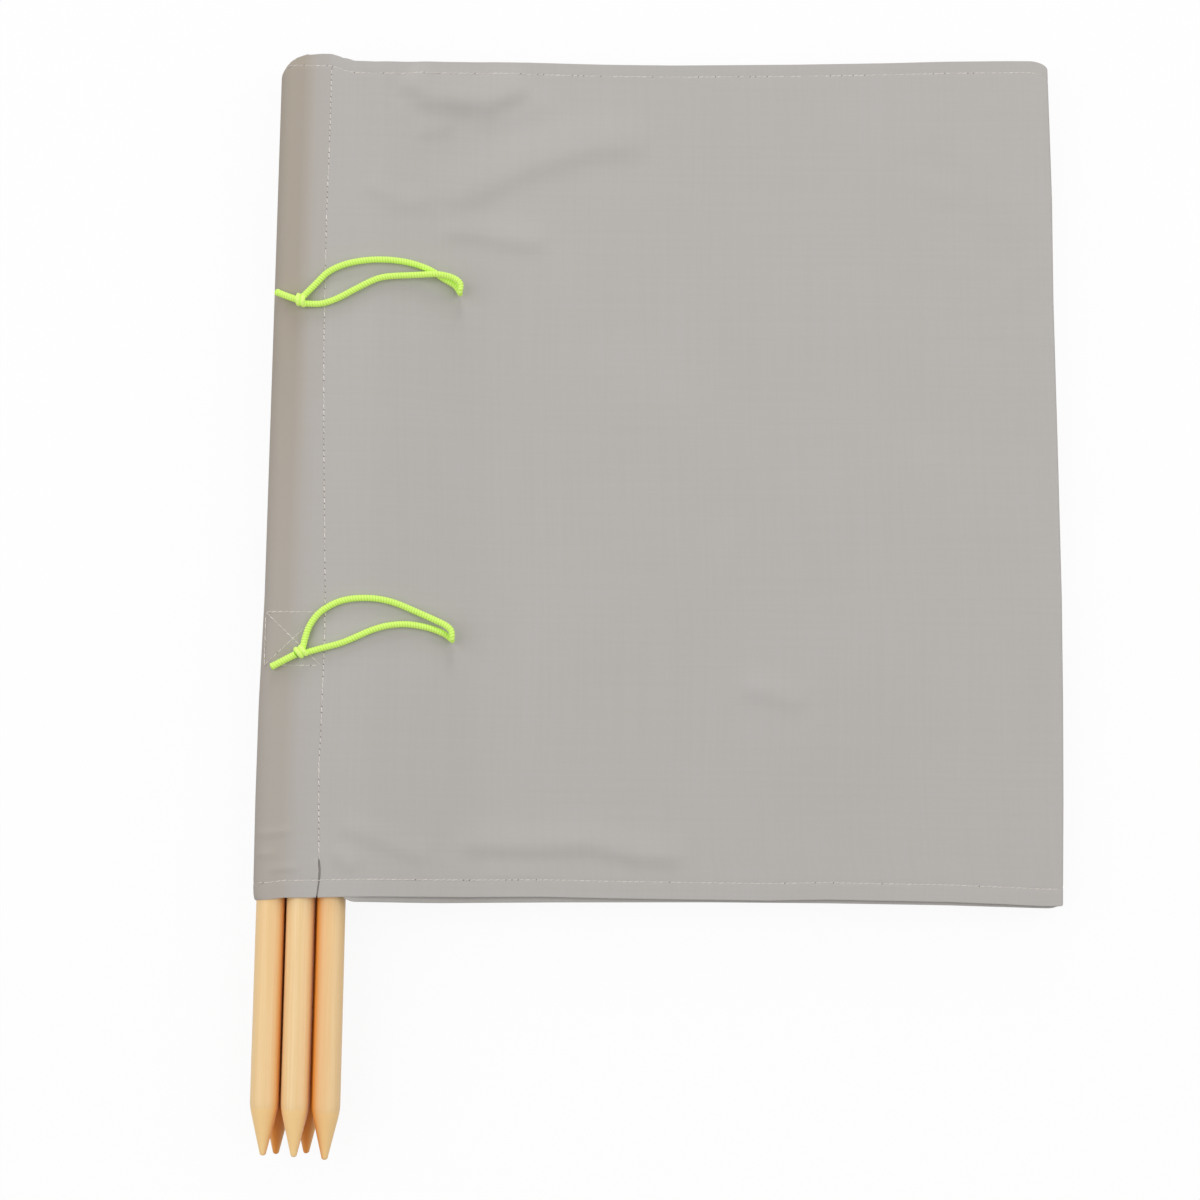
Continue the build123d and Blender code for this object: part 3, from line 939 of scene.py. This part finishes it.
# %% Paths on the front
# Where paths are dropped from, and how far to both sides they are tried
DROP_HEIGHT, DROP_ASIDE = 200, (-1.2, 0, 1.2)


def surface_of(pieces):
    """A search tree of the faces of some pieces, in millimetres."""
    points, faces = [], []
    for piece in pieces:
        start = len(points)
        points += [vertex.co / MM for vertex in piece.data.vertices]
        faces += [[start + corner for corner in face.vertices] for face in piece.data.polygons]
    return BVHTree.FromPolygons(points, faces)


front_surface = surface_of([sleeves[0], bays[0]])


def drop(x, y):
    """Where a point dropped from above meets the front's cloth, and the cloth's normal there."""
    return front_surface.ray_cast((x, y, DROP_HEIGHT), (0, 0, -1))[:2]


def on_front(x, y):
    """A path dropped onto the front's cloth, with the cloth's normals there."""
    points, ups = [], []
    for x_here, y_here in zip(x, y):
        # The highest of three drops side by side, so that none falls between the seam's two edges
        drops = [drop(x_here + aside, y_here) for aside in DROP_ASIDE]
        hit, up = max((met for met in drops if met[0]), key=lambda met: met[0].z)
        points.append((x_here, y_here, hit.z))
        ups.append(up if up.z > 0 else -up)
    return np.array(points), np.array(ups)


def read_at(at, steps, points):
    """The points of a path at some lengths along it."""
    return np.stack([np.interp(at, steps, points[:, k]) for k in range(3)], -1)


# %% Stitches
STITCH_LENGTH, STITCH_SLANT = 5.2, 0.3
# Real thread is about 0.4 mm thick and is drawn thicker here, so that it shows
THREAD_RADIUS = 0.42
# The painted shadow of a needle hole: a dark dot, with its radius and its lift off the cloth
HOLE_RADIUS, HOLE_LIFT = 0.55, 0.06
# Rings of a stitch: their share of its length, their thickness and how far they lift off the cloth
STITCH_RINGS = [(0, 0.35, -0.9), (0.11, 0.9, -0.4), (0.5, 1, -0.2), (0.89, 0.9, -0.4), (1, 0.35, -0.9)]
STITCH_SIDES = 6
thread_chance = np.random.default_rng(5)


def unit(vector):
    """A vector of length 1."""
    return vector / np.linalg.norm(vector)


def ring(centre, radius, first, second, turn):
    """Points round a centre: radius is one value or one for each of them."""
    spokes = np.cos(turn)[:, None] * first + np.sin(turn)[:, None] * second
    return centre + np.reshape(radius, (-1, 1)) * spokes


def stitch_row(points, ups):
    """Stitches along a path and the painted shadows of the needle holes between them, as lists of rings
    of points.
    """
    steps, turn = run_along(points), circle(STITCH_SIDES)
    stitches, holes = [], []
    for start in np.arange(0.5, steps[-1] - STITCH_LENGTH, STITCH_PITCH):
        middle = start + STITCH_LENGTH / 2
        heading = unit(read_at(middle + 1, steps, points) - read_at(middle - 1, steps, points))
        side = unit(np.cross(read_at(middle, steps, ups), heading))
        up = np.cross(heading, side)
        for share, thick, lift in STITCH_RINGS:
            centre = read_at(start + share * STITCH_LENGTH, steps, points)
            centre = centre + up * lift * THREAD_RADIUS + side * STITCH_SLANT * (2 * share - 1)
            stitches.append(ring(centre, THREAD_RADIUS * thick, side, up, turn))
        hole = read_at(start + (STITCH_LENGTH + STITCH_PITCH) / 2, steps, points) + up * HOLE_LIFT
        holes.append(ring(hole, HOLE_RADIUS, heading, side, turn))
    return stitches, holes


def sew(name, rows):
    """Two objects, thread and the painted shadows of needle holes, for rows of stitches: each row is a path
    on the cloth, the share of its holes that shows and the painted highlight of its brightest stitches."""
    rings, holes, tones, faces = [], [], [], []
    for (path, ups), hole_share, brightest in rows:
        row_rings, row_holes = stitch_row(path, ups)
        rings += row_rings
        holes += [hole for hole in row_holes if thread_chance.random() < hole_share]
        # Each stitch's painted highlight, up to its row's brightest
        tones += thread_chance.uniform(0, brightest, len(row_rings) // len(STITCH_RINGS)).tolist()
    for number in range(len(tones)):
        faces += tube_faces(len(STITCH_RINGS), STITCH_SIDES, number * len(STITCH_RINGS) * STITCH_SIDES)
    tones = np.repeat(tones, len(STITCH_RINGS) * STITCH_SIDES)
    dots = np.arange(len(holes) * STITCH_SIDES).reshape(-1, STITCH_SIDES)
    made = [mesh_object(name, np.concatenate(rings), faces, thread, attributes={"thread_painted_highlight": tones}),
            mesh_object(f"{name}_holes", np.concatenate(holes), dots, needle_hole)]
    for piece in made:
        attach(piece, "cloth")
    return made


# %% Sew the front
BOX_LEFT, BOX_RIGHT = pole_x[0] - 10.6, pole_x[0] + 40.6
BOX_LOW, BOX_HIGH = -72.0, -24.0
seam_y = np.linspace(cloth_bottom + SLIT_HEIGHT - 1, front_top(seam_x(cloth_top)) - HEM_HIGH, 300)
low_hem_x = np.linspace(pole_x[0] - 10.5, fold_x - 4, 400)
high_hem_x = np.linspace(pole_x[0] - 6.8, fold_x - 4, 400)
# The box's rows from one end to the other: left, top, bottom and the cross
box_rows = [
    ((BOX_LEFT, BOX_LOW), (BOX_LEFT, BOX_HIGH)),
    ((BOX_LEFT, BOX_HIGH), (BOX_RIGHT, BOX_HIGH)),
    ((BOX_RIGHT - 3, BOX_LOW), (BOX_LEFT, BOX_LOW)),
    ((BOX_LEFT, BOX_HIGH), (BOX_RIGHT, BOX_LOW)),
    ((BOX_LEFT, BOX_LOW), (BOX_RIGHT, BOX_HIGH)),
]
front_stitches = sew("front_stitches", [
    (on_front(seam_x(seam_y), seam_y), 0.8, 1.0),
    (on_front(low_hem_x, front_bottom(low_hem_x) + HEM_LOW), 0.08, 0.5),
    (on_front(high_hem_x, front_top(high_hem_x) - HEM_HIGH), 0.2, 0.75),
] + [(on_front(*np.linspace(start, end, 60).T), 0.08, 0.7) for start, end in box_rows])
print("front stitches:", len(front_stitches[0].data.polygons), "faces")

# %% [markdown]
# ## Tie cords
#
# Each tie is one length of braid, doubled into a loop and knotted. Its line is a smooth NURBS curve with
# about the points of the solid's route, let down by a millimetre or two so that the cord lies on the
# cloth. The curve's own points are read back from Blender, and a tube with a braided skin is swept along
# them. The yarns of such a braid lie nearly across the cord, so its skin has a row of small ribs that lean
# a little. Their valleys are painted a darker green as painted shade, and their crests a paler one as a
# painted highlight.

# %% Cord routes
CORD_DIAMETER = 5.8
ROUTE_STEPS = 24
UPPER_KNOT = (-332.0, 262.0, 60.0)
UPPER_LOOP = [
    (-331.4, 264.8, 58.6), (-319.6, 276.9, 58.9), (-309.9, 288.2, 58.9), (-299.1, 294.3, 59.3),
    (-284.5, 298.7, 60.0), (-266.7, 300.9, 60.6), (-250.2, 301.7, 57.3), (-233.0, 300.3, 53.1),
    (-220.4, 296.8, 50.0), (-212.6, 293.6, 48.2), (-205.0, 288.3, 46.4), (-197.5, 284.6, 44.6),
    (-191.8, 281.2, 43.2), (-187.7, 273.2, 42.2), (-187.7, 273.2, 50.6), (-186.7, 280.9, 50.2),
    (-190.3, 285.3, 50.1), (-197.4, 288.5, 50.9), (-208.3, 289.8, 53.9), (-220.2, 289.2, 53.4),
    (-234.2, 288.0, 54.4), (-247.5, 286.7, 56.9), (-260.2, 284.3, 59.6), (-271.7, 278.7, 60.7),
    (-283.8, 272.2, 60.1), (-299.1, 263.8, 59.3), (-311.9, 259.2, 58.8), (-321.6, 258.7, 58.8),
    (-331.0, 259.6, 58.6),
]
UPPER_TAIL = [(-335.6, 262.6, 60.0), (-346.2, 266.3, 57.8), (-356.1, 271.8, 53.4)]
LOWER_KNOT = (-322.4, -60.3, 60.4)
LOWER_LOOP = [
    (-321.6, -58.6, 58.7), (-319.1, -46.5, 59.3), (-315.3, -35.3, 58.8), (-307.6, -24.8, 59.0),
    (-296.0, -17.3, 59.4), (-283.6, -12.7, 60.0), (-266.5, -11.3, 60.6), (-250.8, -12.3, 57.4),
    (-236.3, -16.2, 53.9), (-219.9, -23.1, 50.4), (-204.1, -29.7, 49.2), (-193.8, -34.6, 49.7),
    (-189.0, -39.7, 50.2), (-188.9, -47.9, 50.7), (-188.9, -47.9, 42.3), (-194.6, -42.4, 43.9),
    (-201.5, -39.2, 45.5), (-209.0, -36.8, 47.3), (-217.8, -35.0, 49.4), (-231.1, -33.6, 52.6),
    (-245.1, -35.3, 56.1), (-258.4, -39.4, 59.2), (-272.0, -45.9, 60.6), (-286.2, -52.3, 60.0),
    (-300.3, -55.9, 59.3), (-310.1, -58.6, 59.1), (-319.8, -61.6, 58.7),
]
LOWER_TAIL = [(-327.4, -62.9, 60.0), (-338.1, -68.0, 58.0), (-349.6, -74.2, 57.0)]
# Which two points of a loop make the sharp fold at its end
FOLD_POINTS = slice(13, 15)


def smooth_route(points):
    """Points of the smooth NURBS line of a route, in millimetres."""
    curve = bpy.data.curves.new("route", "CURVE")
    curve.dimensions = "3D"
    curve.resolution_u = ROUTE_STEPS
    spline = curve.splines.new("NURBS")
    spline.points.add(len(points) - 1)
    for control, point in zip(spline.points, points):
        control.co = [c * MM for c in point] + [1.0]
    spline.order_u = 3
    spline.use_endpoint_u = True
    holder = link(bpy.data.objects.new("route", curve))
    line = bpy.data.meshes.new_from_object(holder.evaluated_get(bpy.context.evaluated_depsgraph_get()))
    read = np.array([vertex.co for vertex in line.vertices]) / MM
    bpy.data.objects.remove(holder)
    bpy.data.curves.remove(curve)
    bpy.data.meshes.remove(line)
    return read


print("routes of", len(UPPER_LOOP), "and", len(LOWER_LOOP), "points")

# %% Braided tube
CORD_SIDES = 24
RING_SPACING = 0.45
# Real ribs of this braid are about 1.9 mm apart, and are drawn wider so that they show
RIB_PITCH, RIB_RELIEF = 2.45, 0.17
# By how much and how far round the cord is drawn thin at a fold
FOLD_SQUEEZE, FOLD_REACH = 0.28, 7.0
# How far the cut end of a tail is rounded, how much wider its frayed yarns are, and over what length
END_ROUNDING, END_FLARE, FLARE_LENGTH = 1.8, 0.12, 2.4


def braided_tube(path, radius, ribs=1, fold=None, cut_end=False):
    """Points, faces and relief of a braided cord along a path. It shows a share of its ribs, is drawn thin
    round a fold, and is rounded off and frayed at a cut end."""
    steps = run_along(path)
    at = np.linspace(0, steps[-1], int(steps[-1] / RING_SPACING))
    centres = read_at(at, steps, path)
    thick = np.ones(len(at))
    if fold is not None:
        thick -= FOLD_SQUEEZE * bell(np.linalg.norm(centres - fold, axis=-1), FOLD_REACH)
    if cut_end:
        left = at[-1] - at
        thick *= np.sqrt(np.clip(1 - np.clip(1 - left / END_ROUNDING, 0, 1) ** 2, 0.02, 1))
        thick *= 1 + END_FLARE * bell(left, FLARE_LENGTH)
    headings = np.gradient(centres, axis=0)
    side, turn = np.cross(headings[0], [0.0, 0.0, 1.0]), circle(CORD_SIDES)
    rings, reliefs = [], []
    for centre, heading, step, share in zip(centres, headings, at, thick):
        heading = unit(heading)
        side = unit(side - heading * (side @ heading))
        rib = 1 - ribs * (0.5 + 0.5 * np.cos(2 * math.pi * step / RIB_PITCH + turn))
        surface = radius * share - RIB_RELIEF * (1 - rib)
        rings.append(ring(centre, surface, side, np.cross(side, heading), turn))
        reliefs.append(rib)
    return np.concatenate(rings), tube_faces(len(rings), CORD_SIDES), np.concatenate(reliefs)


# %% Tie the cords
# A knot's turns, how far apart and how wide they are, and how flat the cloth below them presses them
KNOT_TURNS, KNOT_PITCH, KNOT_RADIUS, KNOT_FLATNESS = 2.0, 4.4, 3.8, 0.86
# How thin the cord is pulled in its knot, and the share of the ribs that shows on it
KNOT_SQUEEZE, KNOT_RIBS = 0.76, 0.25
# How far the two ends of a knot's cord tuck in, and over what share of it
TUCK, TUCK_REACH = 0.35, 0.06
# A tail is slack and so a little thicker than the loop
TAIL_SHARE = 1.08
# How many points of a loop at each end lie in its knot
IN_KNOT = 20


def knot_path(centre, axis):
    """The wraps of a knot: a short flattened helix round an axis in the cloth's plane."""
    axis, over = unit(np.array([*axis, 0.0])), np.array([0.0, 0.0, 1.0])
    t = np.linspace(0, 1, 160)
    tuck = 1 - TUCK * (bell(t, TUCK_REACH) + bell(1 - t, TUCK_REACH))
    angle = 2 * math.pi * KNOT_TURNS * t - 0.5 * math.pi
    return (np.array(centre) + np.outer((t - 0.5) * KNOT_TURNS * KNOT_PITCH, axis)
            + np.outer(KNOT_RADIUS * tuck * np.cos(angle), np.cross(over, axis))
            + np.outer(KNOT_FLATNESS * KNOT_RADIUS * tuck * np.sin(angle), over))


def tie(name, route, tail, knot_at, knot_axis):
    """One tie cord with its knot and tail, which prints its loop's length and height above the cloth."""
    path, radius = smooth_route(route), CORD_DIAMETER / 2
    tubes = {
        "loop": braided_tube(path, radius, fold=np.mean(route[FOLD_POINTS], axis=0)),
        "tail": braided_tube(smooth_route(tail), TAIL_SHARE * radius, cut_end=True),
        "knot": braided_tube(knot_path(knot_at, knot_axis), KNOT_SQUEEZE * radius, KNOT_RIBS),
    }
    for part, (points, faces, relief) in tubes.items():
        piece = mesh_object(f"{part}_cord_{name}", points, faces, cord_stuff,
                            attributes={"rib_painted_light_and_shade": relief}, sharp_degrees=70)
        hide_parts(f"{part}_{name}")
        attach(piece, "cloth")
    length = run_along(path)[-1]
    clear = [z - radius - drop(x, y)[0].z for x, y, z in path[IN_KNOT:-IN_KNOT]]
    print(f"{name} tie: {length:.0f} mm of cord in its loop,",
          f"{min(clear):.1f} to {max(clear):.1f} mm above the cloth")


tie("upper", UPPER_LOOP, UPPER_TAIL, UPPER_KNOT, (1.0, -0.25))
tie("lower", LOWER_LOOP, LOWER_TAIL, LOWER_KNOT, (0.9, 0.43))

# %% [markdown]
# ## Floor and light
#
# The bundle lies on a plain white floor between two wide soft lamps, one on each side, as on a table in a
# studio. Light from both sides leaves the grooves between the poles dark. A third lamp stands low and
# further off, behind the top edge, and its light skims the cloth, so that the creases show. The lamps and
# the sky together give about the light under which a colour renders as it is written. The floor is white
# because of its own material: a camera sees it mostly as plain white, while the rest of it still takes the
# object's shadow.

# %% Floor
FLOOR_HALF, FLOOR_Z = 30.0, -0.0003
# How much of the floor is plain white to a camera, and its tone for a camera and for all other light
PLAIN_WHITE = 0.92
FLOOR_SEEN, FLOOR_UNSEEN = (0.92, 0.92, 0.92, 1), (0.4, 0.4, 0.4, 1)


def seen(tree):
    """A socket that is 1 where a camera looks, also off or through other things, and else 0."""
    ray = add(tree, "LightPath").outputs
    looked = total(tree, ray["Is Camera Ray"], ray["Is Glossy Ray"])
    made = add(tree, "Math", {0: looked, 1: ray["Is Transmission Ray"]}, operation="ADD", use_clamp=True)
    return made.outputs[0]


floor_mesh = bpy.data.meshes.new("floor")
corners = [(x * FLOOR_HALF, y * FLOOR_HALF, FLOOR_Z) for x, y in ((-1, -1), (1, -1), (1, 1), (-1, 1))]
floor_mesh.from_pydata(corners, [], [(0, 1, 2, 3)])
floor = link(bpy.data.objects.new("floor", floor_mesh))
floor_white = bpy.data.materials.new("matt_white_floor")
tree = empty_tree(floor_white)
looked_at = seen(tree)
plain = add(tree, "Math", {0: looked_at, 1: PLAIN_WHITE}, operation="MULTIPLY", use_clamp=True)
matt = add(tree, "BsdfDiffuse", {"Color": mix(tree, looked_at, FLOOR_UNSEEN, FLOOR_SEEN)})
white = add(tree, "Emission", {"Color": (1, 1, 1, 1), "Strength": 1.0})
mixed = add(tree, "MixShader", {0: plain.outputs[0], 1: matt.outputs[0], 2: white.outputs[0]})
add(tree, "OutputMaterial", {"Surface": mixed.outputs[0]})
floor_mesh.materials.append(floor_white)

# %% Sky and lamps
SKY_STRENGTH = 0.38
# Each lamp's place and the length of its sides in metres, and its power in watts
LAMPS = {
    "softbox_left": ((-2.0, 0.15, 1.9), 2.8, 35.5),
    "softbox_right": ((2.0, 0.15, 1.9), 2.8, 35.5),
    "skimming_lamp": ((0.0, 4.0, 1.5), 1.5, 52),
}

world = bpy.data.worlds.new("studio")
bpy.context.scene.world = world
tree = empty_tree(world)
strength = add(tree, "MapRange", {"Value": seen(tree), "To Min": SKY_STRENGTH, "To Max": 1.0})
sky = add(tree, "Background", {"Color": (1, 1, 1, 1), "Strength": strength.outputs["Result"]})
add(tree, "OutputWorld", {"Surface": sky.outputs["Background"]})

for name, (stand, size, power) in LAMPS.items():
    light = bpy.data.lights.new(name, "AREA")
    light.size = size
    light.energy = power
    lamp = link(bpy.data.objects.new(name, light))
    lamp.location = stand
    # The lamp looks at the middle of the floor
    x, y, z = stand
    lamp.rotation_euler = (math.atan2(math.hypot(x, y), z), 0, math.atan2(y, x) + math.pi / 2)
bpy.context.scene.view_settings.view_transform = "Standard"
print("sky of", SKY_STRENGTH, "and", len(LAMPS), "lamps")
